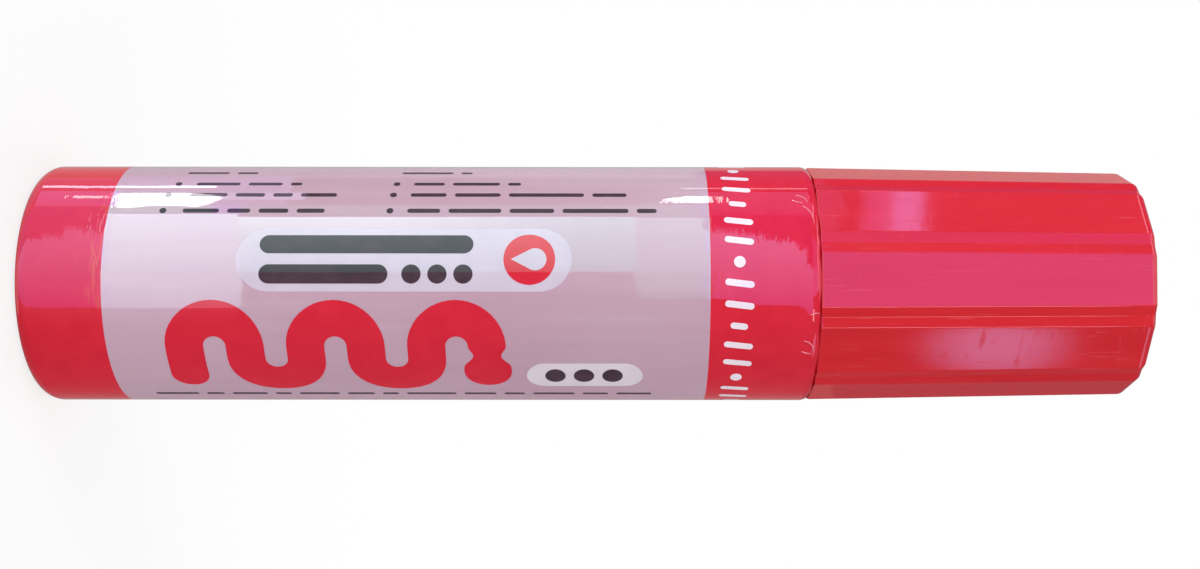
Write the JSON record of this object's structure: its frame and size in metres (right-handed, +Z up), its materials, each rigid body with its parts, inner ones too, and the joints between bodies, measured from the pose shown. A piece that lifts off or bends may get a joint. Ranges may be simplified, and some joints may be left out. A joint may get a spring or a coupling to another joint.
{
  "type": "liquid glue bottle",
  "caption": "Round squeeze bottle of liquid glue in a printed shrink sleeve, with a slit rubber tip under a tapered, faceted screw cap that unscrews and lifts off.",
  "frame": {"origin": "centre of the bottle's base, on the surface that it stands on", "axes": "+Z up along the bottle's axis towards the cap; -Y is the front of the label"},
  "size_m": [0.03, 0.03, 0.1376],
  "materials": {
    "natural_plastic": "milky natural polyethylene, blown",
    "printed_film": "glossy clear film printed red at both ends",
    "glue": "wet",
    "white_plastic": "satin moulded polyethylene",
    "tip_rubber": "smooth natural rubber",
    "cap_red": "glossy moulded polypropylene",
    "cup_plastic": "satin moulded polyethylene",
    "disc_foam": "soft closed-cell foam"
  },
  "bodies": {
    "bottle_body": {"bottle": "natural_plastic", "label_sleeve": "printed_film", "glue_fill": "glue", "flow_insert": "white_plastic", "rubber_tip": "tip_rubber", "tip_collar": "white_plastic"},
    "cap_lift_body": {"seal_disc": "disc_foam"},
    "cap_rise_body": {"seal_cup": "cup_plastic"},
    "cap_body": {"cap_shell": "cap_red"}
  },
  "joints": [
    {"name": "cap_pull", "type": "slide", "parent": "bottle_body", "child": "cap_lift_body", "axis": [0, 0, 1], "range_m": [0, 0.036]},
    {"name": "thread_rise", "type": "slide", "parent": "cap_lift_body", "child": "cap_rise_body", "axis": [0, 0, 1], "range_m": [0, 0.0045]},
    {"name": "cap_turn", "type": "hinge", "parent": "cap_rise_body", "child": "cap_body", "pos_m": [0, 0, 0.0974], "axis": [0, 0, 1], "range_deg": [0, 540]}
  ],
  "couplings": [
    {"joint": "thread_rise", "follows": "cap_turn", "m_per_rad": 0.00047746}
  ]
}
